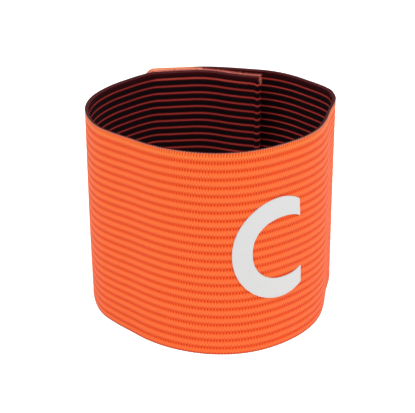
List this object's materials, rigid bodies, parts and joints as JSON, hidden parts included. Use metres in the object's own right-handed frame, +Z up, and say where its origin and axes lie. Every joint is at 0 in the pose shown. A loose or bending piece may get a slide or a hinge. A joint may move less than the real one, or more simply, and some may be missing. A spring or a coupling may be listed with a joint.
{
  "type": "captain armband",
  "caption": "Elastic captain armband: a wide ribbed strip wrapped into an oval loop, its ends overlapped on a hook-and-loop fastening at the back, with a film letter on the front.",
  "frame": {"origin": "middle of the loop in plan, at the height of the bottom rim it stands on", "axes": "+Z up through the arm opening, +Y towards the overlapped ends at the back, the letter on the -Y side, +X to the right of someone facing the letter"},
  "size_m": [0.09, 0.1062, 0.07],
  "materials": {
    "elastic_webbing": "matt ribbed elastic weave, orange outside and near black inside",
    "loop_fabric": "brushed pile",
    "hook_fabric": "stiff moulded hooks",
    "letter_film": "flat heat-pressed film"
  },
  "bodies": {
    "root": {"elastic_band": "elastic_webbing", "loop_tape": "loop_fabric", "hook_tape": "hook_fabric", "captain_letter": "letter_film"}
  },
  "joints": []
}
